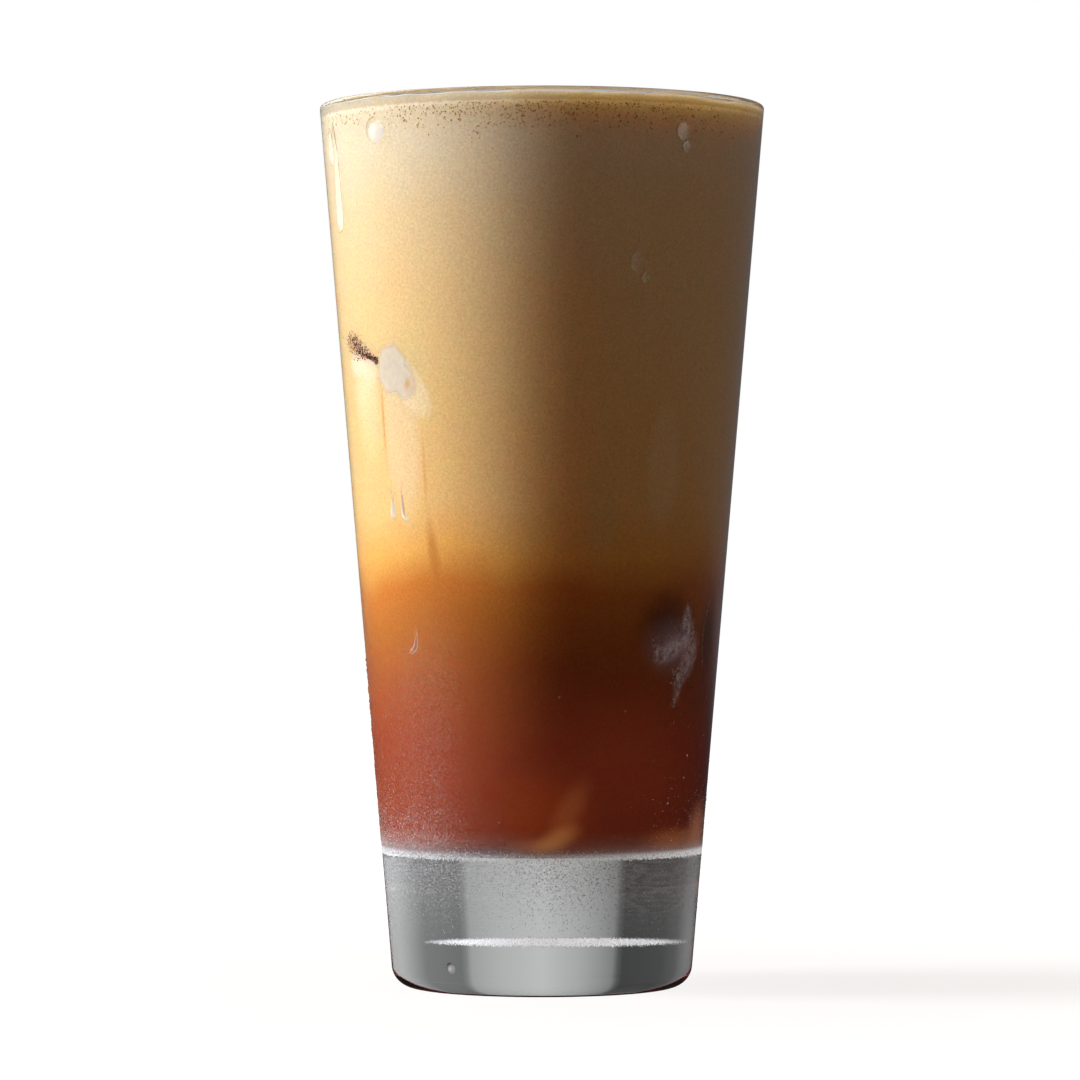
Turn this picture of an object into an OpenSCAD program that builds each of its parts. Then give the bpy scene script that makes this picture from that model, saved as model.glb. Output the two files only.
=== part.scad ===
// Iced coffee in a tall heavy-based tumbler, filled to the brim.
// The origin is the middle of the circle that the glass stands on, and +Z runs up its axis.

/* [Glass] */
// Height of the glass, from the table to the top of the lip
glass_h = 160; // [140:1:180]
// Outer diameter at the lip
rim_d = 81; // [76:0.5:88]
// Outer diameter that the straight side would have at the table
foot_d = 54; // [50:0.5:60]
// Thickness of the wall at the lip
lip_t = 1.6; // [1.4:0.1:2.4]
// Thickness of the wall just above the solid base
wall_t = 2.2; // [1.8:0.1:3]
// Thickness of the solid base, up to the floor inside
base_t = 25; // [16:0.5:32]
// Radius of the rounded heel between the side and the foot
heel_r = 4; // [3:0.5:5]
// Radius of the rounded corner where the wall meets the floor inside
floor_r = 3.5; // [2:0.5:5]
// Diameter of the shallow hollow pressed into the underside
punt_d = 36; // [30:0.5:38]
// Height of that hollow in the middle
punt_h = 2; // [1:0.1:4]

/* [Drink] */
// Height above the table at which the black coffee gives way to foam
coffee_top = 72; // [60:1:90]
// Drop from the top of the lip to the edge of the foam on the wall
foam_drop = 0.8; // [0.8:0.1:3]
// Depth of the shallow trough in the foam just inside the wall
foam_dip = 0.5; // [0.3:0.1:0.8]
// Distance of that trough from the wall
dip_in = 3; // [2:0.5:5]
// Rise of the foam from the trough to the middle
foam_rise = 0.9; // [0.5:0.1:1]

/* [Hidden] */
$fn = 96;

arc_steps = 8;                  // pieces in a rounded corner
curve_steps = 10;               // pieces in a shallow trough or dome

// Straight outer side of the glass: its lean from upright, and its radius at a height
lean = atan((rim_d - foot_d) / 2 / glass_h);
function side_r(z) = foot_d / 2 + z * tan(lean);

// The lip is a full half round, the heel a round corner that meets the side and the foot smoothly
lip_r = lip_t / 2;
lip_z = glass_h - lip_r;
lip_x = side_r(lip_z) - lip_r / cos(lean);
heel_x = foot_d / 2 - heel_r * (1 - sin(lean)) / cos(lean);

// The inner wall leans a little more than the side, so that the glass thickens towards its base
base_r = side_r(base_t) - wall_t / cos(lean);
inner_lean = atan((lip_x - lip_r / cos(lean) - base_r) / (lip_z - base_t));
floor_x = base_r - floor_r * (1 - sin(inner_lean)) / cos(inner_lean);

// Points on an arc about [x, z], from one angle to another
function arc(x, z, r, from, to, steps) =
    [for (i = [0 : steps]) let (a = from + (to - from) * i / steps) [x + r * cos(a), z + r * sin(a)]];

// Points of a raised cosine from one point to another, level at both ends and without the first
function swell(from, to, steps) =
    [for (i = [1 : steps]) let (s = i / steps, lift = (1 - cos(180 * s)) / 2)
        [from[0] + (to[0] - from[0]) * s, from[1] + (to[1] - from[1]) * lift]];

// Round corner between the floor inside and the wall, from the middle of the glass outwards
floor_corner = arc(floor_x, base_t + floor_r, floor_r, -90, -inner_lean, arc_steps);
// Half round of the lip, from the side over the top to the inner wall
lip_arc = arc(lip_x, lip_z, lip_r, -lean, 180 - inner_lean, 2 * arc_steps);

// Radius of the inner wall at a height between those two
wall_foot = floor_corner[arc_steps];
wall_head = lip_arc[2 * arc_steps];
function wall_r(z) =
    wall_foot[0] + (wall_head[0] - wall_foot[0]) * (z - wall_foot[1]) / (wall_head[1] - wall_foot[1]);

// One pressed piece of clear glass: thick base with a shallow hollow under it, leaning wall, round lip
module glass() {
    color("lightcyan", 0.35)
        rotate_extrude()
            polygon(concat(
                [[0, punt_h]],
                swell([0, punt_h], [punt_d / 2, 0], curve_steps),
                arc(heel_x, heel_r, heel_r, -90, -lean, arc_steps),
                lip_arc,
                [for (i = [arc_steps : -1 : 0]) floor_corner[i]],
                [[0, base_t]]
            ));
}

// Black coffee, from the floor inside the glass up to the foam
module coffee() {
    color("#5a2312")
        rotate_extrude()
            polygon(concat(
                [[0, base_t]],
                floor_corner,
                [[wall_r(coffee_top), coffee_top], [0, coffee_top]]
            ));
}

// Milky foam, up to the brim: it clings to the wall, dips beside it and swells towards the middle
module foam() {
    edge = [wall_r(glass_h - foam_drop), glass_h - foam_drop];
    trough = [edge[0] - dip_in, edge[1] - foam_dip];
    color("#c99a62")
        rotate_extrude()
            polygon(concat(
                [[0, coffee_top], [wall_r(coffee_top), coffee_top], edge],
                [for (i = [1 : curve_steps]) let (s = i / curve_steps)
                    [edge[0] - dip_in * s, edge[1] - foam_dip * sin(90 * s)]],
                swell(trough, [0, trough[1] + foam_rise], curve_steps)
            ));
}

glass();
coffee();
foam();
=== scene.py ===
"""Iced coffee in a tall heavy-based tumbler: clear glass, black coffee, milky foam, ice and condensation."""
import math
import random

import bmesh
import bpy
import numpy as np
from mathutils import Matrix, Vector, noise


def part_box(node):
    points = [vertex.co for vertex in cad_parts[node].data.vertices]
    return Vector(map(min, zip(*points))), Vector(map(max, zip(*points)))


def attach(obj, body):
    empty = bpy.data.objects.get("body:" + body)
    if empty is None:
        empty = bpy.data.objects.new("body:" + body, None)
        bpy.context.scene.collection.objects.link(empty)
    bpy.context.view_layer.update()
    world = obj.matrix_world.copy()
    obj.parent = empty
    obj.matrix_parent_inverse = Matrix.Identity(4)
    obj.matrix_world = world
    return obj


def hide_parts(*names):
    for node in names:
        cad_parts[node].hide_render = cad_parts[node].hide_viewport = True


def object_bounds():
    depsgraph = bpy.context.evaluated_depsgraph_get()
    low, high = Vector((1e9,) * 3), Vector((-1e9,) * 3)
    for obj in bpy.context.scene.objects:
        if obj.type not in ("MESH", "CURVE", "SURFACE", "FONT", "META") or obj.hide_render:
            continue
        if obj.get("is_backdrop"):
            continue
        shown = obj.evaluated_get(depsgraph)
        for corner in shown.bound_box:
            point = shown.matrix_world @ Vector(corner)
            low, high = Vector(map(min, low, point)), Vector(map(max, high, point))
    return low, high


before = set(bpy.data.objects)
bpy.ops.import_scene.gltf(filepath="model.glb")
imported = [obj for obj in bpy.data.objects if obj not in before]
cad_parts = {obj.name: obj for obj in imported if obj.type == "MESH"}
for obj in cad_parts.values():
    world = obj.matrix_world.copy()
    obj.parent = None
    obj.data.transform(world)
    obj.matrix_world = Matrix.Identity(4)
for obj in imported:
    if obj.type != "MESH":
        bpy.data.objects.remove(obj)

cad_bounds = [list(corner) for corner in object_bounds()]


# The glass is a pressed soda-lime tumbler: a solid base with a shallow hollow under it, a leaning wall and a
# lip melted round. It is pressed in one go in an iron mould, so its outside is smooth but very slightly wavy.
# Its side would reach SIDE_RIM_R at the top if the lip weren't rounded.
glass_low, glass_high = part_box("glass")
coffee_low, coffee_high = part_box("coffee")
foam_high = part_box("foam")[1]
GLASS_H = glass_high.z
BASE_T = coffee_low.z
SIDE_FOOT_R = 0.0270
SIDE_RIM_R = -glass_low.x + 0.00005
LIP_T = 0.0016
HEEL_R = 0.0040
FLOOR_R = 0.0035
PUNT_R = 0.0180
PUNT_H = 0.0020
LEAN = math.atan((SIDE_RIM_R - SIDE_FOOT_R) / GLASS_H)
FOAM_EDGE = GLASS_H - 0.0008
AROUND = 160


def side_r(z):
    """Radius of the straight outer side at a height."""
    return SIDE_FOOT_R + z * math.tan(LEAN)


def wall_r(z):
    """Radius of the inner wall at a height, on the line from the top of the coffee to the top of the foam."""
    low, high = coffee_high, foam_high
    return low.x + (high.x - low.x) * (z - low.z) / (FOAM_EDGE - low.z)


def start_piece(name, add_primitive, **sizes):
    """Adds a primitive with nothing else selected, names it and opens it for editing."""
    bpy.ops.object.select_all(action="DESELECT")
    add_primitive(**sizes)
    piece = bpy.context.object
    piece.name = name
    bpy.ops.object.mode_set(mode="EDIT")
    return piece


def place_in_mesh(piece):
    """Puts a new primitive's place into its mesh and goes on editing it."""
    bpy.ops.object.mode_set(mode="OBJECT")
    bpy.ops.object.transform_apply(location=True, rotation=True, scale=True)
    bpy.ops.object.mode_set(mode="EDIT")


def select_where(piece, what, test):
    """In edit mode, selects only the faces or edges whose middle and direction pass a test."""
    mesh = bmesh.from_edit_mesh(piece.data)
    bpy.context.tool_settings.mesh_select_mode = (False, what == "edges", what == "faces")
    for part in (mesh.verts, mesh.edges, mesh.faces):
        for element in part:
            element.select_set(False)
    mesh.normal_update()
    for element in getattr(mesh, what):
        if what == "faces":
            middle, direction = element.calc_center_median(), element.normal
        else:
            first, second = (vertex.co for vertex in element.verts)
            middle, direction = (first + second) / 2, (second - first).normalized()
        if test(middle, direction):
            element.select_set(True)
    bmesh.update_edit_mesh(piece.data)


def finish_piece(piece):
    """Closes the edit, puts the piece's place into its mesh and smooths its shading."""
    bpy.ops.mesh.select_all(action="SELECT")
    bpy.ops.mesh.remove_doubles(threshold=1e-7)
    bpy.ops.mesh.normals_make_consistent(inside=False)
    bpy.ops.object.mode_set(mode="OBJECT")
    bpy.ops.object.transform_apply(location=True, rotation=True, scale=True)
    bpy.ops.object.shade_smooth()


def modify(piece, kind, **settings):
    """Adds a modifier and applies it."""
    modifier = piece.modifiers.new(kind.lower(), kind)
    for name, value in settings.items():
        setattr(modifier, name, value)
    bpy.context.view_layer.objects.active = piece
    bpy.ops.object.modifier_apply(modifier=modifier.name)


def level_ring(z, r):
    """A test for the edges of a level ring of that height and radius."""
    def test(middle, direction):
        return abs(middle.z - z) < 1e-5 and abs(middle.xy.length - r) < 2e-4 and abs(direction.z) < 0.1
    return test


glass = start_piece(
    "glass_tumbler", bpy.ops.mesh.primitive_cone_add, vertices=AROUND, radius1=SIDE_FOOT_R,
    radius2=SIDE_RIM_R, depth=GLASS_H, location=(0, 0, GLASS_H / 2))
place_in_mesh(glass)
select_where(glass, "faces", lambda middle, normal: normal.z > 0.9)
bpy.ops.mesh.inset(thickness=LIP_T)
floor_scale = wall_r(BASE_T) / (SIDE_RIM_R - LIP_T)
bpy.ops.mesh.extrude_region_move(TRANSFORM_OT_translate={"value": (0, 0, BASE_T - GLASS_H)})
bpy.ops.transform.resize(value=(floor_scale, floor_scale, 1), center_override=(0, 0, BASE_T))

select_where(glass, "edges", level_ring(0, SIDE_FOOT_R))
bpy.ops.mesh.bevel(offset=HEEL_R * math.tan(math.pi / 4 - LEAN / 2), segments=12, affect="EDGES")
select_where(glass, "edges", level_ring(BASE_T, wall_r(BASE_T)))
bpy.ops.mesh.bevel(offset=FLOOR_R * math.tan(math.pi / 4 - LEAN / 2), segments=10, affect="EDGES")
select_where(glass, "edges", level_ring(GLASS_H, SIDE_RIM_R))
bpy.ops.mesh.bevel(offset=LIP_T * 0.47, segments=8, affect="EDGES")
select_where(glass, "edges", level_ring(GLASS_H, SIDE_RIM_R - LIP_T))
bpy.ops.mesh.bevel(offset=LIP_T * 0.47, segments=8, affect="EDGES")

select_where(glass, "edges", lambda middle, direction: abs(direction.z) > 0.9 and middle.z > BASE_T / 3)
bpy.ops.mesh.subdivide(number_cuts=24)

select_where(glass, "faces", lambda middle, normal: normal.z < -0.99 and middle.z < 1e-5)
foot_inner_r = SIDE_FOOT_R - HEEL_R * (1 - math.sin(LEAN)) / math.cos(LEAN)
bpy.ops.mesh.inset(thickness=foot_inner_r - PUNT_R)
PUNT_RINGS = 10
for ring in range(PUNT_RINGS):
    swell = (1 - math.cos(math.pi * (ring + 1) / PUNT_RINGS)) / 2
    before = (1 - math.cos(math.pi * ring / PUNT_RINGS)) / 2
    if ring < PUNT_RINGS - 1:
        bpy.ops.mesh.inset(thickness=PUNT_R / PUNT_RINGS)
        bpy.ops.transform.translate(value=(0, 0, PUNT_H * (swell - before)))
finish_piece(glass)


def linear(colour):
    """A colour written as sRGB hex, as linear red, green, blue and alpha."""
    parts = [int(colour[at:at + 2], 16) / 255 for at in (1, 3, 5)]
    return [part / 12.92 if part <= 0.04045 else ((part + 0.055) / 1.055) ** 2.4 for part in parts] + [1]


def add_node(tree, kind, sockets=None, stops=None, **settings):
    """Adds a node. Settings are its own, sockets are its inputs, each a value or another node's output."""
    made = tree.nodes.new(kind)
    for name, value in settings.items():
        setattr(made, name, value)
    for name, value in (sockets or {}).items():
        if isinstance(value, bpy.types.NodeSocket):
            tree.links.new(value, made.inputs[name])
        else:
            made.inputs[name].default_value = value
    if stops:
        while len(made.color_ramp.elements) < len(stops):
            made.color_ramp.elements.new(0.5)
        for element, (place, colour) in zip(made.color_ramp.elements, stops):
            element.position = place
            element.color = colour
    return made


def new_material(name):
    """A new material with an empty node tree, and its output node."""
    material = bpy.data.materials.new(name)
    material.use_nodes = True
    material.node_tree.nodes.clear()
    return material, material.node_tree, material.node_tree.nodes.new("ShaderNodeOutputMaterial")


def lamp_clear(tree, output, shader):
    """Lets lamplight straight through a clear shader, as bent light would take too long to find its way."""
    path = add_node(tree, "ShaderNodeLightPath")
    either = add_node(tree, "ShaderNodeMath", {
        0: path.outputs["Is Shadow Ray"], 1: path.outputs["Is Diffuse Ray"]}, operation="MAXIMUM")
    clear = add_node(tree, "ShaderNodeBsdfTransparent", {"Color": (0.97, 0.97, 0.97, 1)})
    mix = add_node(tree, "ShaderNodeMixShader", {0: either.outputs[0], 1: shader, 2: clear.outputs[0]})
    tree.links.new(mix.outputs[0], output.inputs["Surface"])


def lumps(per_mm):
    """The noise scale for about that many lumps in a millimetre, so 0.5 makes each of them 2 mm across."""
    return 1000 * per_mm


def soda_lime_glass():
    """Pressed soda-lime glass, clear with a trace of grey-green, and its moulded skin slightly wavy."""
    material, tree, output = new_material("soda_lime_glass")
    place = add_node(tree, "ShaderNodeTexCoord").outputs["Object"]
    waves = add_node(tree, "ShaderNodeTexNoise", {"Vector": place, "Scale": lumps(0.07), "Detail": 1})
    bump = add_node(tree, "ShaderNodeBump", {
        "Strength": 0.15, "Distance": 0.0003, "Height": waves.outputs[0]})
    shader = add_node(tree, "ShaderNodeBsdfPrincipled", {
        "Base Color": linear("#FAFCFC"), "Roughness": 0.0, "IOR": 1.52, "Transmission Weight": 1.0,
        "Normal": bump.outputs[0]})
    lamp_clear(tree, output, shader.outputs[0])
    return material


glass.data.materials.clear()
glass.data.materials.append(soda_lime_glass())
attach(glass, "root")
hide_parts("glass")


# The drink is black coffee that a deep milky foam has sunk into, so the two run into each other with no edge.
# It reaches just into the wall of the glass, as liquid does to the eye. Its top clings to the wall in a rim,
# dips beside it, and swells towards the middle in a skin of small bubbles.
MM = 0.001
SINK = 0.15 * MM
DIP_IN = 0.0030
DIP = 0.0005
RISE = 0.0009
FLAT_STEPS = 20

drink = start_piece(
    "iced_coffee", bpy.ops.mesh.primitive_cone_add, vertices=AROUND, radius1=wall_r(BASE_T) + SINK,
    radius2=wall_r(FOAM_EDGE) + SINK, depth=FOAM_EDGE - BASE_T + SINK,
    location=(0, 0, (FOAM_EDGE + BASE_T - SINK) / 2))
place_in_mesh(drink)
select_where(drink, "edges", level_ring(BASE_T - SINK, wall_r(BASE_T) + SINK))
bpy.ops.mesh.bevel(offset=FLOOR_R * math.tan(math.pi / 4 - LEAN / 2), segments=10, affect="EDGES")
select_where(drink, "edges", lambda middle, direction: abs(direction.z) > 0.9 and middle.z > BASE_T + FLOOR_R)
bpy.ops.mesh.subdivide(number_cuts=60)
select_where(drink, "faces", lambda middle, normal: normal.z > 0.9)
for step in range(6):
    fall = math.sin(math.pi * (step + 1) / 12) - math.sin(math.pi * step / 12)
    bpy.ops.mesh.inset(thickness=DIP_IN / 6)
    bpy.ops.transform.translate(value=(0, 0, -DIP * fall))
flat_r = wall_r(FOAM_EDGE) + SINK - DIP_IN
for step in range(FLAT_STEPS - 1):
    rise = math.cos(math.pi * step / FLAT_STEPS) - math.cos(math.pi * (step + 1) / FLAT_STEPS)
    bpy.ops.mesh.inset(thickness=flat_r / FLAT_STEPS)
    bpy.ops.transform.translate(value=(0, 0, RISE * rise / 2))
finish_piece(drink)
for vertex in drink.data.vertices:
    if vertex.co.z > FOAM_EDGE - 0.002:
        vertex.co.z += noise.noise(vertex.co * 160) * 0.00022 + noise.noise(vertex.co * 520) * 0.00012


def on_wall(azimuth, z):
    """A point on the side of the drink, at an azimuth in degrees from the front."""
    turn = math.radians(azimuth)
    r = wall_r(z) + SINK
    return Vector((math.sin(turn) * r, -math.cos(turn) * r, z))


def soft_patch(tree, place, softness, azimuth, z, across, up, tilt):
    """An oval mask on the wall, 1 in its middle and 0 past its edge, which takes up softness of its reach.
    Its half sizes are in millimetres, and it leans to the right by degrees."""
    mapping = add_node(tree, "ShaderNodeMapping", {
        "Vector": place, "Location": on_wall(azimuth, z * MM),
        "Rotation": (0, math.radians(tilt), math.radians(azimuth)),
        "Scale": (across * MM, across * MM * 2, up * MM)}, vector_type="TEXTURE")
    oval = add_node(tree, "ShaderNodeTexGradient", {"Vector": mapping.outputs[0]}, gradient_type="SPHERICAL")
    mask = add_node(tree, "ShaderNodeMapRange", {0: oval.outputs["Fac"], 1: 0.0, 2: softness, 3: 0.0, 4: 1.0},
                    interpolation_type="SMOOTHSTEP")
    return mask.outputs[0]


def milky_coffee():
    """Milk foam over black coffee. The foam scatters light like milk, and the coffee turns a glowing red
    brown where light soaks in. Where ice lies close behind the wall, the thin drink before it is paler or
    darker.
    Emission adds painted light low in the coffee and on the frost at the right, and a painted highlight lines
    the brim."""
    material, tree, output = new_material("milky_coffee")
    place = add_node(tree, "ShaderNodeTexCoord").outputs["Object"]
    parts = add_node(tree, "ShaderNodeSeparateXYZ", {0: place})
    drift = add_node(tree, "ShaderNodeTexNoise", {"Vector": place, "Scale": lumps(0.045), "Detail": 2})
    level = add_node(tree, "ShaderNodeMath", {0: drift.outputs[0], 1: 0.010, 2: parts.outputs["Z"]},
                     operation="MULTIPLY_ADD")
    share = add_node(tree, "ShaderNodeMath", {0: level.outputs[0], 1: 1 / GLASS_H}, operation="MULTIPLY")

    def at(mm):
        return (mm + 5) * MM / GLASS_H

    colour = add_node(tree, "ShaderNodeValToRGB", {"Fac": share.outputs[0]}, stops=[
        (at(28), linear("#8C3E22")), (at(45), linear("#984727")), (at(57), linear("#A35A2A")),
        (at(67), linear("#B4702D")), (at(73), linear("#C47D38")), (at(79), linear("#DFAC5C")),
        (at(87), linear("#E2BE82")), (at(105), linear("#E1C28A")), (at(125), linear("#DFC492")),
        (at(140), linear("#DFC9A1")), (at(151), linear("#DED0B5"))])
    # Each patch: colour, strength, softness, azimuth, height, half width, half height, lean
    patches = [
        ("#F7EEE0", 0.45, 0.7, -66.5, 112.6, 4.6, 3.2, 0),
        ("#F6EAD8", 0.40, 0.8, -59.5, 111.4, 4.4, 3.6, 0),
        ("#F4E4CC", 0.30, 0.9, -64.5, 107.5, 6.0, 7.0, 0),
        ("#F2DFC0", 0.25, 0.8, -62.0, 104.0, 6.0, 13.0, 0),
        ("#EADAC2", 0.32, 0.6, -46.5, 99.5, 5.8, 20.0, -2),
        ("#EFDFC4", 0.50, 0.35, -41.5, 108.2, 3.4, 7.5, -34),
        ("#D09A58", 0.70, 0.9, -54.0, 102.0, 0.6, 18.0, 0),
        ("#D2A05E", 0.55, 0.9, -37.8, 93.0, 0.6, 15.0, 0),
        ("#BC7A38", 0.70, 0.9, -36.0, 78.0, 1.7, 10.0, -6),
        ("#C9BE9A", 0.30, 0.9, 18.5, 84.0, 4.5, 10.0, 0),
        ("#F0E2CE", 0.28, 0.6, 39.5, 94.0, 4.8, 14.0, 0),
        ("#2A181C", 0.60, 0.9, 44.5, 66.5, 8.5, 8.5, 12),
        ("#8E7072", 0.50, 0.9, 48.0, 61.5, 7.5, 6.5, 30),
        ("#33201E", 0.55, 0.9, 70.0, 64.0, 4.5, 10.0, 0),
    ]
    shown = colour.outputs[0]
    for patch_colour, strength, softness, *where in patches:
        mask = soft_patch(tree, place, softness, *where)
        amount = add_node(tree, "ShaderNodeMath", {0: mask, 1: strength}, operation="MULTIPLY")
        shown = add_node(tree, "ShaderNodeMix", {0: amount.outputs[0], 6: shown, 7: linear(patch_colour)},
                         data_type="RGBA").outputs[2]

    # Painted light: emission brightens the coffee low down, standing in for light that the solid base gathers
    # and sends up through the coffee, and brightens the frost in the ice at the right as if it caught the
    # light.
    # Each: colour, softness, and a place as for a patch
    painted_glows = [
        ((0.050, 0.007, 0.003), 0.9, 26.0, 38.0, 36.0, 24.0, 0),
        ((0.050, 0.007, 0.000), 0.9, 0.0, 32.0, 12.0, 12.0, 0),
        ((0.110, 0.052, 0.014), 0.9, 5.0, 28.0, 2.8, 6.5, 62),
        ((0.060, 0.025, 0.008), 0.9, -4.0, 26.9, 2.0, 7.0, 86),
        ((0.045, 0.018, 0.006), 0.9, 9.5, 33.0, 3.4, 9.0, 28),
        ((0.100, 0.030, 0.006), 0.9, 56.0, 27.4, 10.0, 3.4, 0),
        ((0.180, 0.070, 0.036), 0.9, 76.0, 28.0, 7.0, 8.0, 0),
        ((0.075, 0.062, 0.070), 0.9, 54.6, 65.6, 1.9, 5.0, 0),
        ((0.060, 0.050, 0.058), 0.9, 48.4, 61.8, 6.0, 2.6, -25),
        ((0.055, 0.042, 0.046), 0.9, 57.0, 60.0, 2.8, 6.0, 25),
        ((0.036, 0.024, 0.022), 0.9, 52.0, 54.5, 1.5, 3.8, 12),
        ((0.022, 0.016, 0.018), 0.9, 48.0, 62.5, 9.0, 7.0, 0),
    ]
    painted_glow = (0, 0, 0)
    for painted_glow_colour, softness, *where in painted_glows:
        mask = soft_patch(tree, place, softness, *where)
        painted_glow = add_node(tree, "ShaderNodeVectorMath", {0: painted_glow_colour, 1: mask, 2: painted_glow},
                        operation="MULTIPLY_ADD").outputs[0]

    # At the brim the wet foam on the lip is a little browner, over a painted highlight: a bright line
    # standing in for light caught at the top edge of the foam against the glass
    bumps = add_node(tree, "ShaderNodeTexNoise", {"Vector": place, "Scale": lumps(0.9), "Detail": 2})
    brim_level = add_node(tree, "ShaderNodeMath", {0: bumps.outputs[0], 1: 0.0006, 2: parts.outputs["Z"]},
                          operation="MULTIPLY_ADD")
    brim = add_node(tree, "ShaderNodeMapRange", {
        0: brim_level.outputs[0], 1: GLASS_H - 3.7 * MM, 2: GLASS_H + 0.3 * MM, 3: 0.0, 4: 1.0})
    brim_tone_and_highlight = add_node(tree, "ShaderNodeValToRGB", {"Fac": brim.outputs[0]}, stops=[
        (0.18, linear("#FFFFFF")), (0.28, (1.12, 1.10, 1.15, 1)), (0.38, (1.12, 1.10, 1.15, 1)),
        (0.46, (0.80, 0.74, 0.70, 1)), (1.0, (0.92, 0.86, 0.84, 1))])
    brim_toned_and_highlit = add_node(tree, "ShaderNodeMix", {0: 1.0, 6: shown, 7: brim_tone_and_highlight.outputs[0]}, data_type="RGBA",
                     blend_type="MULTIPLY", clamp_result=True)

    # The froth's own grain, of bubbles under half a millimetre
    grain = add_node(tree, "ShaderNodeTexNoise", {"Vector": place, "Scale": lumps(2.6), "Detail": 1})
    grain_share = add_node(tree, "ShaderNodeMapRange", {
        0: grain.outputs[0], 1: 0.25, 2: 0.75, 3: 0.88, 4: 1.12})
    grained = add_node(tree, "ShaderNodeVectorMath", {0: brim_toned_and_highlit.outputs[2], 3: grain_share.outputs[0]},
                       operation="SCALE")
    reach = add_node(tree, "ShaderNodeValToRGB", {"Fac": share.outputs[0]}, stops=[
        (at(60), (0.50, 0.10, 0.04, 1)), (at(80), (0.38, 0.125, 0.03, 1)), (at(125), (0.38, 0.125, 0.04, 1)),
        (at(150), (0.22, 0.16, 0.09, 1))])
    shader = add_node(tree, "ShaderNodeBsdfPrincipled", {
        "Base Color": grained.outputs[0], "Roughness": 0.5, "IOR": 1.34, "Subsurface Weight": 1.0,
        "Subsurface Radius": reach.outputs[0], "Subsurface Scale": 0.05, "Specular IOR Level": 0.0,
        "Emission Color": painted_glow, "Emission Strength": 1.0})
    tree.links.new(shader.outputs[0], output.inputs["Surface"])
    return material


drink.data.materials.append(milky_coffee())
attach(drink, "root")
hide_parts("coffee", "foam")


# Ice. Of the worn cubes in the drink, only the left one of two that lie close behind the wall is made as a
# piece. It is pressed flat against the glass, under a gap full of air bubbles. The right one is sunk a little
# deeper, so only its dark window, made in the drink's colour, and the frost caught in it show.
def ice_piece(name, azimuth, z, size, lean, reach):
    """A worn piece of ice pressed against the wall with its rounded edge, melted flat where it would pass the
    wall by up to reach. Sizes are in millimetres, and it leans to the right by degrees."""
    piece = start_piece(name, bpy.ops.mesh.primitive_cube_add, size=1, location=(0, 0, 0))
    bpy.ops.mesh.subdivide(number_cuts=36)
    bpy.ops.transform.resize(value=[side * MM for side in size], center_override=(0, 0, 0))
    bpy.ops.mesh.vertices_smooth(factor=0.5, repeat=30)
    finish_piece(piece)
    for vertex in piece.data.vertices:
        vertex.co *= 1 + 0.05 * noise.noise(vertex.co * 160)
    wall_lean = math.atan((foam_high.x - coffee_high.x) / (FOAM_EDGE - coffee_high.z))
    distance = wall_r(z * MM) + (reach - size[1] / 2) * MM
    piece.data.transform(
        Matrix.Rotation(math.radians(azimuth), 4, "Z") @ Matrix.Translation((0, -distance, z * MM))
        @ Matrix.Rotation(wall_lean, 4, "X") @ Matrix.Rotation(math.radians(lean), 4, "Y"))
    for vertex in piece.data.vertices:
        limit = wall_r(vertex.co.z) + SINK + 0.05 * MM
        if vertex.co.xy.length > limit:
            vertex.co.xy *= limit / vertex.co.xy.length
    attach(piece, "root")
    return piece


def clean_ice():
    """Ice where it is pressed clean against the wall: greyish cream, clearest in one facet near its top, and
    hazy with foam lower down, where it fades into the drink."""
    material, tree, output = new_material("ice_clean_facet")
    place = add_node(tree, "ShaderNodeTexCoord").outputs["Object"]
    wobble = add_node(tree, "ShaderNodeTexNoise", {"Vector": place, "Scale": lumps(0.42), "Detail": 3})
    centred = add_node(tree, "ShaderNodeVectorMath", {0: wobble.outputs["Color"], 1: (0.5, 0.5, 0.5)},
                       operation="SUBTRACT")
    bent = add_node(tree, "ShaderNodeVectorMath", {
        0: centred.outputs[0], 1: (1.3 * MM, 1.3 * MM, 1.3 * MM), 2: place}, operation="MULTIPLY_ADD")
    facet = soft_patch(tree, bent.outputs[0], 0.30, -48.6, 111.3, 4.2, 5.0, -6)
    shoulder = soft_patch(tree, bent.outputs[0], 0.45, -45.0, 109.6, 3.6, 4.4, -40)
    chip = soft_patch(tree, bent.outputs[0], 0.9, -42.4, 108.6, 1.0, 1.9, 25)
    clear_facet = add_node(tree, "ShaderNodeMath", {0: facet, 1: shoulder}, operation="MAXIMUM")
    tone = add_node(tree, "ShaderNodeMix", {0: chip, 6: linear("#D4D2C4"), 7: linear("#CFAE7A")},
                    data_type="RGBA")
    streaks = add_node(tree, "ShaderNodeTexNoise", {"Vector": place, "Scale": lumps(0.9), "Detail": 2})
    streak_share = add_node(tree, "ShaderNodeMapRange", {
        0: streaks.outputs[0], 1: 0.3, 2: 0.7, 3: 0.93, 4: 1.07})
    varied = add_node(tree, "ShaderNodeVectorMath", {0: tone.outputs[2], 3: streak_share.outputs[0]},
                      operation="SCALE")
    alpha = add_node(tree, "ShaderNodeMath", {0: clear_facet.outputs[0], 1: 0.72}, operation="MULTIPLY")
    shader = add_node(tree, "ShaderNodeBsdfPrincipled", {
        "Base Color": varied.outputs[0], "Roughness": 0.5, "IOR": 1.31, "Specular IOR Level": 0.0,
        "Alpha": alpha.outputs[0]})
    tree.links.new(shader.outputs[0], output.inputs["Surface"])
    return material


left_ice = ice_piece("ice_cube_left", -46.5, 96.0, (14, 22, 46), -2, 1.2)
left_ice.data.materials.append(clean_ice())

random.seed(5)


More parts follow.
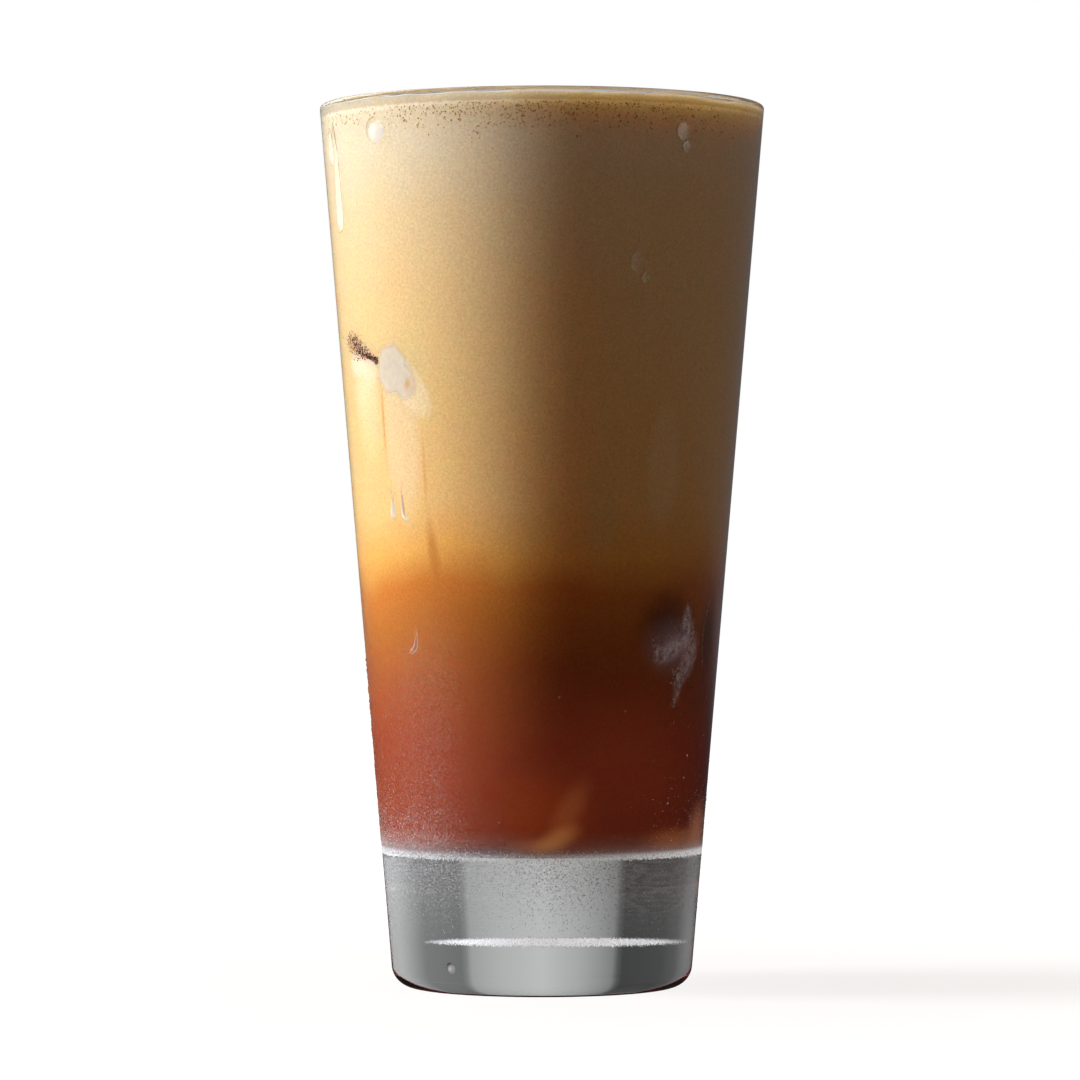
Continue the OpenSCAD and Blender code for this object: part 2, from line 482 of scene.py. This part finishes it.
def shape_of(name, add_primitive, cut_z, flatten, **sizes):
    """Models one small shape of radius 1, cuts off what is below cut_z, and returns its corners and faces."""
    piece = start_piece(name, add_primitive, **sizes)
    bpy.ops.mesh.bisect(plane_co=(0, 0, cut_z), plane_no=(0, 0, 1), clear_inner=True, use_fill=True)
    bpy.ops.mesh.select_all(action="SELECT")
    bpy.ops.transform.resize(value=(1, 1, flatten), center_override=(0, 0, 0))
    finish_piece(piece)
    corners = np.array([vertex.co for vertex in piece.data.vertices])
    faces = [tuple(face.vertices) for face in piece.data.polygons]
    bpy.data.objects.remove(piece)
    return corners, faces


def piece_from(name, corners, faces, thickness):
    """A smooth-shaded piece of those corners and faces, with a share at each corner, kept as thickness, which
    the look of condensed water shows as painted light and shade.
    """
    mesh = bpy.data.meshes.new(name)
    mesh.from_pydata(corners, [], faces)
    mesh.shade_smooth()
    share = mesh.attributes.new("thickness", "FLOAT", "POINT")
    share.data.foreach_set("value", thickness)
    piece = bpy.data.objects.new(name, mesh)
    bpy.context.scene.collection.objects.link(piece)
    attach(piece, "root")
    return piece


def scatter_piece(name, shape, places, full=1.0):
    """One mesh of many copies of a shape. Each place is a point, an outward direction, a width, height and
    depth. The middle of each copy has that share of full thickness."""
    corners, faces = shape
    all_corners, all_faces = [], []
    for point, out, width, height, depth in places:
        across = Vector((-out.y, out.x, 0)).normalized() if abs(out.z) < 0.9 else Vector((1, 0, 0))
        up = out.cross(across)
        frame_axes = np.array([across * width, up * height, out * depth])
        first = len(all_corners) * len(corners)
        all_corners.append(corners @ frame_axes + np.array(point))
        all_faces.extend(tuple(corner + first for corner in face) for face in faces)
    thickness = np.tile(corners[:, 2].clip(0, 1) * full, len(places))
    return piece_from(name, np.concatenate(all_corners).tolist(), all_faces, thickness)


def on_side(azimuth, z, radius_at):
    """A point on a round side, at an azimuth in degrees from the front, and the direction straight out."""
    turn = math.radians(azimuth)
    out = Vector((math.sin(turn) * math.cos(LEAN), -math.cos(turn) * math.cos(LEAN), -math.sin(LEAN)))
    r = radius_at(z)
    return Vector((math.sin(turn) * r, -math.cos(turn) * r, z)), out


def drink_r(z):
    """Radius of the side of the drink at a height."""
    return wall_r(z) + SINK


def along_route(route, steps):
    """Points on a smooth line through a route's points, each the same length of numbers."""
    points = [route[0]] + list(route) + [route[-1]]
    smooth = []
    for at in range(len(route) - 1):
        before, first, second, after = (np.array(point, float) for point in points[at:at + 4])
        for step in range(steps):
            t = step / steps
            square = 2 * before - 5 * first + 4 * second - after
            cube = 3 * first - before - 3 * second + after
            smooth.append(0.5 * (2 * first + (second - before) * t + square * t * t + cube * t ** 3))
    return smooth + [np.array(route[-1], float)]


small_dome = shape_of("bubble", bpy.ops.mesh.primitive_uv_sphere_add, 0.0, 1.0,
                      segments=8, ring_count=4, radius=1)


def scatter_along(name, route, count, least, most, depth):
    """Flat round bubbles strewn along a route on the wall, count of them at each step. Each point of the
    route is an azimuth, a height, and how far they stray across and up, in degrees and millimetres."""
    places = []
    for azimuth, z, wide, tall in along_route(route, 12):
        for _ in range(count):
            point, out = on_side(azimuth + random.gauss(0, wide), (z + random.gauss(0, tall)) * MM, drink_r)
            r = random.triangular(least, most, least * 1.3) * MM
            places.append((point, out, r, r, depth * MM))
    return scatter_piece(name, small_dome, places)


def ice_bubble(name, dark, light, painted_glow):
    """Air bubbles caught in ice: dark where the eye looks past them into the drink, pale where frost backs
    them. Their emission, in their own colour, is painted light for the light the frost catches."""
    material, tree, output = new_material(name)
    place = add_node(tree, "ShaderNodeTexCoord").outputs["Object"]
    blotch = add_node(tree, "ShaderNodeTexNoise", {"Vector": place, "Scale": lumps(1.2)})
    tone = add_node(tree, "ShaderNodeValToRGB", {"Fac": blotch.outputs[0]}, stops=[
        (0.38, linear(dark)), (0.66, linear(light))])
    shader = add_node(tree, "ShaderNodeBsdfPrincipled", {
        "Base Color": tone.outputs[0], "Roughness": 0.3, "IOR": 1.31, "Specular IOR Level": 0.0,
        "Emission Color": tone.outputs[0], "Emission Strength": painted_glow})
    tree.links.new(shader.outputs[0], output.inputs["Surface"])
    return material


# The gap over the left cube, where no foam reaches
gap_bubbles = scatter_along("ice_gap_bubbles", [
    (-70.0, 117.3, 2.2, 0.5), (-68.0, 116.2, 3.0, 0.8), (-65.0, 115.0, 2.4, 0.8), (-61.5, 114.2, 1.4, 0.5),
    (-58.0, 113.6, 0.8, 0.2), (-55.0, 112.8, 0.4, 0.3)], 11, 0.06, 0.22, 0.07)
gap_bubbles.data.materials.append(ice_bubble("dark_air_gap", "#1C1313", "#6E5A4E", 0.0))

# Frost on the right cube: a fold of fine frost, and a strip of coarser bubbles that runs down from it
frost = ice_bubble("cloudy_ice_frost", "#7E6466", "#D8C6C6", 0.08)
streaks = [
    ("ice_frost_fold", [
        (54.4, 68.6, 0.3, 0.5), (54.8, 66.4, 0.6, 0.6), (54.0, 64.4, 1.1, 0.6), (51.0, 62.6, 1.3, 0.6),
        (47.0, 61.2, 1.3, 0.6), (43.0, 60.4, 1.3, 0.8), (40.4, 62.0, 1.2, 1.0)], 30, 0.04, 0.12, 0.04),
    ("ice_frost_veil", [
        (52.0, 66.4, 1.2, 0.9), (49.0, 64.6, 1.8, 1.0), (45.0, 63.0, 1.8, 1.0)], 14, 0.03, 0.07, 0.03),
    ("ice_frost_strip", [
        (57.8, 65.6, 0.6, 0.6), (58.4, 62.4, 1.3, 0.7), (56.6, 59.4, 1.8, 0.7), (53.4, 57.0, 1.8, 0.7),
        (51.0, 55.4, 1.1, 0.5)], 20, 0.05, 0.17, 0.05),
    ("ice_frost_tail", [
        (53.0, 55.6, 0.3, 0.3), (52.0, 53.6, 0.4, 0.3), (49.6, 51.6, 0.7, 0.4)], 5, 0.06, 0.15, 0.06),
    ("ice_frost_edge", [
        (68.5, 70.0, 0.4, 0.4), (66.0, 66.0, 0.3, 0.5), (65.5, 62.0, 0.3, 0.5), (67.0, 58.5, 0.3, 0.4)],
     4, 0.04, 0.10, 0.04),
]
for name, route, *sizes in streaks:
    scatter_along(name, route, *sizes).data.materials.append(frost)


# Bubbles in the foam. Where the foam is wettest, close under the rim, pin-sized bubbles lie against the glass
# and show as small brown dots; on top, bubbles up to a millimetre and a half wide stand in the skin.
random.seed(11)
pins = []
for _ in range(1000):
    azimuth = random.gauss(0, 24) if random.random() < 0.5 else random.uniform(-180, 180)
    z = GLASS_H - 2.6 * MM - abs(random.gauss(0, 2.4)) * MM
    point, out = on_side(azimuth, z, drink_r)
    r = random.triangular(0.06, 0.22, 0.09) * MM
    pins.append((point, out, r, r, r * 0.35))
wall_bubbles = scatter_piece("foam_wall_bubbles", small_dome, pins)


def top_z(r):
    """Height of the top of the foam at a distance from the axis."""
    edge = wall_r(FOAM_EDGE)
    if r > edge - DIP_IN:
        return FOAM_EDGE - DIP * math.sin(math.pi / 2 * (edge - r) / DIP_IN)
    return FOAM_EDGE - DIP + RISE * (1 + math.cos(math.pi * r / (edge - DIP_IN))) / 2


froth = []
for _ in range(5200):
    r = wall_r(FOAM_EDGE) * math.sqrt(random.random()) * 0.985
    turn = random.uniform(0, 2 * math.pi)
    size = min(0.10 / (1 - random.random()) ** 0.45, 0.8) * MM
    if r + size > wall_r(FOAM_EDGE):
        continue
    point = Vector((math.cos(turn) * r, math.sin(turn) * r, top_z(r)))
    froth.append((point, Vector((0, 0, 1)), size, size, size * 0.35))
top_bubbles = scatter_piece("foam_top_bubbles", small_dome, froth)


def foam_bubble(name, dark, light, gloss):
    """A thin-walled bubble of wet foam, browner than the skin about it, with a wet shine."""
    material, tree, output = new_material(name)
    place = add_node(tree, "ShaderNodeTexCoord").outputs["Object"]
    blotch = add_node(tree, "ShaderNodeTexNoise", {"Vector": place, "Scale": lumps(0.5)})
    colour = add_node(tree, "ShaderNodeValToRGB", {"Fac": blotch.outputs[0]}, stops=[
        (0.3, linear(dark)), (0.7, linear(light))])
    shader = add_node(tree, "ShaderNodeBsdfPrincipled", {
        "Base Color": colour.outputs[0], "Roughness": 0.2, "IOR": 1.34, "Specular IOR Level": gloss})
    tree.links.new(shader.outputs[0], output.inputs["Surface"])
    return material


wall_bubbles.data.materials.append(foam_bubble("wet_foam_bubble_on_glass", "#A27A4E", "#BE9A6C", 0.0))
top_bubbles.data.materials.append(foam_bubble("wet_foam_bubble_on_top", "#DCC6A2", "#E6D6BA", 0.5))


# Condensation. The drink is ice cold, so water from the air has settled on the outside of the glass: a fog of
# beads too fine to tell apart, beads up to three quarters of a millimetre wide low down, and here and there a
# drop that has run.
def condensed_water():
    """Condensed water. Resting on glass it bends light much less than a drop in air. Its pale crescent, on
    the side away from the lamp where it would gather the light, is painted light, and the side near the lamp
    is darkened as painted shade; both are set by the thickness share at each corner."""
    material, tree, output = new_material("condensed_water")
    place = add_node(tree, "ShaderNodeTexCoord").outputs["Object"]
    full = add_node(tree, "ShaderNodeAttribute", attribute_name="thickness")
    ripple = add_node(tree, "ShaderNodeTexNoise", {"Vector": place, "Scale": lumps(0.9)})
    bump = add_node(tree, "ShaderNodeBump", {
        "Strength": 0.1, "Distance": 0.1 * MM, "Height": ripple.outputs[0]})
    # Painted light and shade: the higher the thickness share, the less clear and the whiter the water, and
    # below nothing it is tinted brown.
    clear = add_node(tree, "ShaderNodeMapRange", {0: full.outputs["Fac"], 1: 0.15, 2: 0.9, 3: 1.0, 4: 0.45},
                     interpolation_type="SMOOTHSTEP")
    shade = add_node(tree, "ShaderNodeMapRange", {0: full.outputs["Fac"], 1: 0.0, 2: -1.3, 3: 0.0, 4: 1.0})
    painted_light_and_shade = add_node(tree, "ShaderNodeMix", {0: shade.outputs[0], 6: linear("#FDFEFF"), 7: linear("#A07C5E")},
                    data_type="RGBA")
    shader = add_node(tree, "ShaderNodeBsdfPrincipled", {
        "Base Color": painted_light_and_shade.outputs[2], "Roughness": 0.02, "IOR": 1.18,
        "Transmission Weight": clear.outputs[0], "Normal": bump.outputs[0]})
    lamp_clear(tree, output, shader.outputs[0])
    return material


water_look = condensed_water()
bead_dome = shape_of("bead", bpy.ops.mesh.primitive_uv_sphere_add, -0.15, 1.0,
                     segments=8, ring_count=4, radius=1)
random.seed(23)
beads = []
while len(beads) < 2400:
    azimuth = -90 + random.gauss(0, 22) if random.random() < 0.93 else random.uniform(-180, 180)
    z = random.uniform(0.0265, 0.064)
    low = 1 - (z - 0.0265) / 0.0375
    if random.random() > low ** 0.8:
        continue
    point, out = on_side(azimuth, z, side_r)
    r = random.triangular(0.08, 0.38, 0.12) * MM
    beads.append((point, out, r, r * random.uniform(1.0, 1.3), r * 0.4))
side_beads = scatter_piece("condensation_beads", bead_dome, beads, 0.06)
side_beads.data.materials.append(water_look)

random.seed(29)
low_beads = []
for _ in range(2600):
    azimuth = (-78 if random.random() < 0.65 else 80) + random.gauss(0, 18)
    point, out = on_side(azimuth, 0.0262 + abs(random.gauss(0, 0.0052)), side_r)
    r = random.triangular(0.04, 0.17, 0.06) * MM
    low_beads.append((point, out, r, r, r * 0.4))
limb_beads = scatter_piece("condensation_beads_low", bead_dome, low_beads, 0.7)
limb_beads.data.materials.append(water_look)

random.seed(31)
specks = []
while len(specks) < 3600:
    azimuth = random.gauss(25, 50)
    z = random.uniform(0.0105, 0.0262)
    if abs(azimuth) > 110 or random.random() > ((z - 0.0105) / 0.0157) ** 0.8:
        continue
    point, out = on_side(azimuth, z, side_r)
    r = random.triangular(0.05, 0.16, 0.07) * MM
    specks.append((point, out, r, r, r * 0.4))
base_beads = scatter_piece("condensation_on_base", bead_dome, specks, 0.8)
base_beads.data.materials.append(water_look)

round_drop = shape_of("drop", bpy.ops.mesh.primitive_uv_sphere_add, -0.12, 1.0,
                      segments=32, ring_count=24, radius=1)


def run_piece(name, azimuth, z, head, tail, length, thick, pale, sway=0.0):
    """A drop that has run down the side: a round head at that place, and above it a tail that narrows and
    sways. head and tail are half widths, pale is the strength of its painted light and shade, and sizes are
    in millimetres."""
    corners, faces = round_drop
    placed, thickness = [], []
    for across, up, out_share in corners:
        along = (up + 1) / 2
        width = tail + (head - tail) * (1 - along) ** 2.2 if length else head
        height = z + (up * head if along < 0.5 else up * max(length, head))
        shift = across * width + sway * math.sin(along * 3 - 0.8)
        turn = azimuth + math.degrees(shift * MM / side_r(height * MM))
        full = max(0.0, out_share) ** 2
        lift = full * thick * (width / head) ** 0.5 * MM
        point, out = on_side(turn, height * MM, side_r)
        placed.append(tuple(point + out * lift))
        # Its thickness share is painted light and shade: high on the side away from the lamp and low on the
        # drop, and below nothing, as painted shade, towards the lamp and the top.
        thickness.append((0.75 * full + 0.7 * across - 0.3 * up) * pale)
    piece = piece_from(name, placed, faces, thickness)
    piece.data.materials.append(water_look)


# Each: name, azimuth, height, half widths of head and tail, length, thickness, strength of painted light,
# sway
runs = [
    ("run_left", -70.0, 139.0, 2.9, 1.8, 17.0, 0.55, 0.6, 0.4),
    ("run_left_high", -72.5, 150.5, 2.2, 1.4, 4.5, 0.4, 0.5),
    ("drop_high_left", -48.0, 153.4, 2.4, 0.0, 0.0, 0.75, 0.95),
    ("drop_high_left_side", -53.0, 154.8, 1.0, 0.0, 0.0, 0.3, 0.3),
    ("drop_high_right", 38.4, 152.8, 1.6, 0.0, 0.0, 0.7, 0.5),
    ("drop_under_right", 39.8, 150.2, 1.1, 0.0, 0.0, 0.6, 0.8),
    ("drop_right", 27.0, 129.6, 2.0, 0.0, 0.0, 0.7, 0.4),
    ("drop_right_low", 28.8, 127.0, 1.0, 0.0, 0.0, 0.5, 0.6),
    ("twin_run_left", -50.7, 86.3, 1.7, 0.3, 5.5, 0.7, 0.8, 0.2),
    ("twin_run_right", -45.2, 85.5, 1.2, 0.25, 6.0, 0.6, 1.1, -0.5),
    ("run_low", -45.2, 62.2, 1.5, 0.25, 4.0, 0.9, 0.7, 1.1),
    ("drop_on_base", -36.3, 5.0, 1.0, 0.0, 0.0, 0.35, 0.75),
    ("drop_centre", 5.3, 53.4, 0.35, 0.0, 0.0, 0.2, 0.6),
]
for run in runs:
    run_piece(*run)

# The fog is a film too fine to model bead by bead: a skin over the lower half of the glass, thin and grainy
fog = start_piece("condensation_fog", bpy.ops.mesh.primitive_cylinder_add, vertices=AROUND, radius=1,
                  depth=1, end_fill_type="NOTHING", location=(0, 0, 0))
select_where(fog, "edges", lambda middle, direction: abs(direction.z) > 0.9)
bpy.ops.mesh.subdivide(number_cuts=40)
finish_piece(fog)
FOG_LOW = 8 * MM
FOG_HIGH = 84 * MM
for vertex in fog.data.vertices:
    z = FOG_LOW + (vertex.co.z + 0.5) * (FOG_HIGH - FOG_LOW)
    r = (side_r(z) + 0.03 * MM) / vertex.co.xy.length
    vertex.co = (vertex.co.x * r, vertex.co.y * r, z)
modify(fog, "SOLIDIFY", thickness=0.05 * MM, offset=1)


def cover_along(tree, distance, low, high, stops):
    """How much of the glass the fog covers along a distance, from low to high in millimetres. Each stop is a
    distance and the share that is covered there."""
    share = add_node(tree, "ShaderNodeMapRange", {0: distance, 1: low * MM, 2: high * MM, 3: 0.0, 4: 1.0})
    ramp = add_node(tree, "ShaderNodeValToRGB", {"Fac": share.outputs[0]}, stops=[
        ((at - low) / (high - low), (cover, cover, cover, 1)) for at, cover in stops])
    return ramp.outputs[0]


def fog_film():
    """A fog of water beads finer than a tenth of a millimetre, white where it is dense: in a ring round the
    floor of the drink, in a line low on the front where it has drained, thinly over the cold coffee, and in
    grains on the base. Emission on the dense lines is painted light, for light gathered in the solid base."""
    material, tree, output = new_material("condensation_fog")
    place = add_node(tree, "ShaderNodeTexCoord").outputs["Object"]
    parts = add_node(tree, "ShaderNodeSeparateXYZ", {0: place})
    across = parts.outputs["X"]
    clouds = add_node(tree, "ShaderNodeTexNoise", {"Vector": place, "Scale": lumps(0.16), "Detail": 4})
    beads = add_node(tree, "ShaderNodeTexNoise", {"Vector": place, "Scale": lumps(3), "Detail": 1})

    # Heights with a cloudy edge, 1.5 mm higher than they are on average, and with a ragged one, 0.5 mm higher
    cloudy = add_node(tree, "ShaderNodeMath", {0: clouds.outputs[0], 1: 3 * MM, 2: parts.outputs["Z"]},
                      operation="MULTIPLY_ADD")
    ragged = add_node(tree, "ShaderNodeMath", {0: beads.outputs[0], 1: 1.1 * MM, 2: parts.outputs["Z"]},
                      operation="MULTIPLY_ADD")

    # The ring round the floor of the drink, thinnest at the left of the front. It grows denser towards the
    # right partly as fog and partly as painted light, for the light from the right-back that brightens it
    # there
    ring = cover_along(tree, ragged.outputs[0], 20, 35, [
        (24.8, 0), (25.025, 1), (25.775, 0.95), (26.45, 0.35), (27.8, 0.14), (30.2, 0)])
    ring_across = cover_along(tree, across, -30, 30, [
        (-28.8, 0.42), (-24.6, 0.34), (-12, 0.24), (0, 0.32), (15, 0.55), (30, 0.9)])
    ring_here = add_node(tree, "ShaderNodeMath", {0: ring, 1: ring_across}, operation="MULTIPLY")

    # The drained line, a slim oval on the front of the base
    uneven = add_node(tree, "ShaderNodeCombineXYZ", {0: across, 1: parts.outputs["Y"], 2: ragged.outputs[0]})
    drained = add_node(tree, "ShaderNodeMapping", {
        "Vector": uneven.outputs[0], "Location": (3.4 * MM, -27.5 * MM, 10.6 * MM),
        "Rotation": (math.radians(-4), 0, 0),
        "Scale": (25.4 * MM, 200 * MM, 0.92 * MM)}, vector_type="TEXTURE")
    oval = add_node(tree, "ShaderNodeTexGradient", {"Vector": drained.outputs[0]}, gradient_type="SPHERICAL")
    line = add_node(tree, "ShaderNodeMapRange", {0: oval.outputs["Fac"], 1: 0.02, 2: 0.30, 3: 0.0, 4: 1.0})
    front = add_node(tree, "ShaderNodeMapRange", {
        0: parts.outputs["Y"], 1: -6 * MM, 2: -10 * MM, 3: 0.0, 4: 1.0})
    line_here = add_node(tree, "ShaderNodeMath", {0: line.outputs[0], 1: front.outputs[0]},
                         operation="MULTIPLY")
    dense = add_node(tree, "ShaderNodeMath", {0: ring_here.outputs[0], 1: line_here.outputs[0]},
                     operation="MAXIMUM")
    soft_grain = add_node(tree, "ShaderNodeMapRange", {0: beads.outputs[0], 1: 0.35, 2: 0.65, 3: 0.5, 4: 1.1})
    dense_cover = add_node(tree, "ShaderNodeMath", {0: dense.outputs[0], 1: soft_grain.outputs[0]},
                           operation="MULTIPLY")

    # Thin fog, on the side over the coffee and on the base
    side = cover_along(tree, cloudy.outputs[0], 0, 160, [
        (26, 0), (28.5, 0.06), (37.5, 0.03), (59.5, 0.024), (75.5, 0)])
    side_across = cover_along(tree, across, -32, 8, [
        (-29.6, 0.2), (-26, 0.5), (-23.2, 0.9), (-18.4, 1), (-13.2, 0.3), (-6, 0.1)])
    base = cover_along(tree, cloudy.outputs[0], 0, 160, [
        (10.5, 0), (16.5, 0.03), (24.5, 0.09), (26.3, 0.05), (27.5, 0)])
    thin = add_node(tree, "ShaderNodeMath", {0: side, 1: side_across, 2: base}, operation="MULTIPLY_ADD")
    grains = add_node(tree, "ShaderNodeMapRange", {0: beads.outputs[0], 1: 0.42, 2: 0.66, 3: 0.15, 4: 1.6})
    cover = add_node(tree, "ShaderNodeMath", {
        0: thin.outputs[0], 1: grains.outputs[0], 2: dense_cover.outputs[0]}, operation="MULTIPLY_ADD",
        use_clamp=True)

    # Painted light: the emission of the dense lines rises from left to right, for light gathered in the solid
    # base.
    gathered = add_node(tree, "ShaderNodeMapRange", {0: across, 1: -24 * MM, 2: 4 * MM, 3: 0.05, 4: 0.55})
    painted_glow = add_node(tree, "ShaderNodeMath", {0: dense.outputs[0], 1: gathered.outputs[0]},
                    operation="MULTIPLY")
    shader = add_node(tree, "ShaderNodeBsdfPrincipled", {
        "Base Color": linear("#E4E7EE"), "Roughness": 0.9, "IOR": 1.33, "Specular IOR Level": 0.0,
        "Emission Color": linear("#E6E7EA"), "Emission Strength": painted_glow.outputs[0], "Alpha": cover.outputs[0]})
    path = add_node(tree, "ShaderNodeLightPath")
    clear = add_node(tree, "ShaderNodeBsdfTransparent")
    mix = add_node(tree, "ShaderNodeMixShader", {
        0: path.outputs["Is Shadow Ray"], 1: shader.outputs[0], 2: clear.outputs[0]})
    tree.links.new(mix.outputs[0], output.inputs["Surface"])
    return material


fog.data.materials.append(fog_film())
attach(fog, "root")


# Studio: a pale floor and backdrop, white to the camera, and one large soft light at the left. A ring of grey
# cards stands round the glass and shows only in the light that comes through it.
world = bpy.data.worlds.new("studio")
bpy.context.scene.world = world
world.use_nodes = True
tree = world.node_tree
tree.nodes.clear()
path = add_node(tree, "ShaderNodeLightPath")
dim = add_node(tree, "ShaderNodeBackground", {"Color": (1.0, 0.64, 0.35, 1), "Strength": 0.27})
cool = add_node(tree, "ShaderNodeBackground", {"Color": (0.80, 0.88, 1.0, 1), "Strength": 0.13})
white = add_node(tree, "ShaderNodeBackground", {"Color": (1, 1, 1, 1), "Strength": 1.0})
unseen = add_node(tree, "ShaderNodeMixShader", {
    0: path.outputs["Is Glossy Ray"], 1: dim.outputs[0], 2: cool.outputs[0]})
mix = add_node(tree, "ShaderNodeMixShader", {
    0: path.outputs["Is Camera Ray"], 1: unseen.outputs[0], 2: white.outputs[0]})
add_node(tree, "ShaderNodeOutputWorld", {"Surface": mix.outputs[0]})

bpy.ops.object.select_all(action="DESELECT")
bpy.ops.mesh.primitive_plane_add(size=8, location=(0, 0, 0))
floor = bpy.context.object
floor.name = "floor"
material, tree, output = new_material("white_table")
path = add_node(tree, "ShaderNodeLightPath")
place = add_node(tree, "ShaderNodeTexCoord").outputs["Object"]
away = add_node(tree, "ShaderNodeVectorMath", {0: place}, operation="LENGTH")
evening = add_node(tree, "ShaderNodeMapRange", {0: away.outputs["Value"], 1: 0.04, 2: 0.30, 3: 0.80, 4: 1.0},
                   interpolation_type="SMOOTHSTEP")
seen = add_node(tree, "ShaderNodeBsdfPrincipled", {
    "Base Color": (0.25, 0.25, 0.25, 1), "Roughness": 0.9, "Specular IOR Level": 0.0,
    "Emission Color": (1, 1, 1, 1), "Emission Strength": evening.outputs[0]})
far = add_node(tree, "ShaderNodeMapRange", {0: away.outputs["Value"], 1: 0.2, 2: 1.6, 3: 0.02, 4: 0.13},
               interpolation_type="SMOOTHSTEP")
unseen = add_node(tree, "ShaderNodeEmission", {"Color": (0.80, 0.88, 1.0, 1), "Strength": far.outputs[0]})
mix = add_node(tree, "ShaderNodeMixShader", {
    0: path.outputs["Is Camera Ray"], 1: unseen.outputs[0], 2: seen.outputs[0]})
tree.links.new(mix.outputs[0], output.inputs["Surface"])
floor.data.materials.append(material)
floor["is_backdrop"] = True

key_data = bpy.data.lights.new("key", "AREA")
key_data.shape = "RECTANGLE"
key_data.size = 0.45
key_data.size_y = 0.9
key_data.energy = 27
key = bpy.data.objects.new("key", key_data)
bpy.context.scene.collection.objects.link(key)
azimuth = math.radians(-86.4)
key.location = (math.sin(azimuth) * 1.1, -math.cos(azimuth) * 1.1, 0.40)
key.rotation_euler = (Vector((0, 0, 0.09)) - key.location).to_track_quat("-Z", "Y").to_euler()
key.visible_glossy = False

bpy.ops.object.select_all(action="DESELECT")
bpy.ops.mesh.primitive_cylinder_add(vertices=96, radius=0.15, depth=0.3, end_fill_type="NOTHING",
                                    location=(0, 0, 0.15))
surround = bpy.context.object
surround.name = "surround"
bpy.ops.object.transform_apply(location=True, rotation=True, scale=True)
material, tree, output = new_material("cards")
parts = add_node(tree, "ShaderNodeSeparateXYZ", {0: add_node(tree, "ShaderNodeTexCoord").outputs["Object"]})
angle = add_node(tree, "ShaderNodeMath", {0: parts.outputs["X"], 1: parts.outputs["Y"]}, operation="ARCTAN2")
share = add_node(tree, "ShaderNodeMapRange", {0: angle.outputs[0], 1: -math.pi, 2: math.pi, 3: 0.0, 4: 1.0})


def round_at(degrees):
    return (degrees + 180) / 360


greys = [(-180, 0.05), (-110, 0.6), (-75, 0.5), (-58, 0.30), (-42, 0.10), (-32, 0.06), (-15.6, 0.05),
         (-15.2, 0.20), (-7, 0.42), (0, 0.56), (8, 0.48), (15.2, 0.36), (15.6, 0.17), (30, 0.22), (40, 0.42),
         (58, 0.78), (75, 1.4), (110, 1.4), (135, 0.05)]
card = add_node(tree, "ShaderNodeValToRGB", {"Fac": share.outputs[0]}, stops=[
    (round_at(degrees), (grey, grey, grey, 1)) for degrees, grey in greys])
shine = add_node(tree, "ShaderNodeEmission", {"Color": card.outputs[0], "Strength": 1.0})
tree.links.new(shine.outputs[0], output.inputs["Surface"])
surround.data.materials.append(material)
surround.visible_camera = False
surround.visible_diffuse = False
surround.visible_shadow = False
surround.visible_glossy = False
surround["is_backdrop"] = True

camera_data = bpy.data.cameras.new("camera")
camera_data.lens = 161.7
camera_data.sensor_width = 36
camera_data.clip_start = 0.01
camera = bpy.data.objects.new("camera", camera_data)
bpy.context.scene.collection.objects.link(camera)
camera.location = (-0.00035, -0.883, 0.0773)
camera.rotation_euler = (math.radians(90.2466), 0, 0)
bpy.context.scene.camera = camera

scene = bpy.context.scene
scene.view_settings.view_transform = "Standard"
scene.cycles.transparent_max_bounces = 16

sizes = {"cad": cad_bounds, "visual": [list(corner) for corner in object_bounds()]}
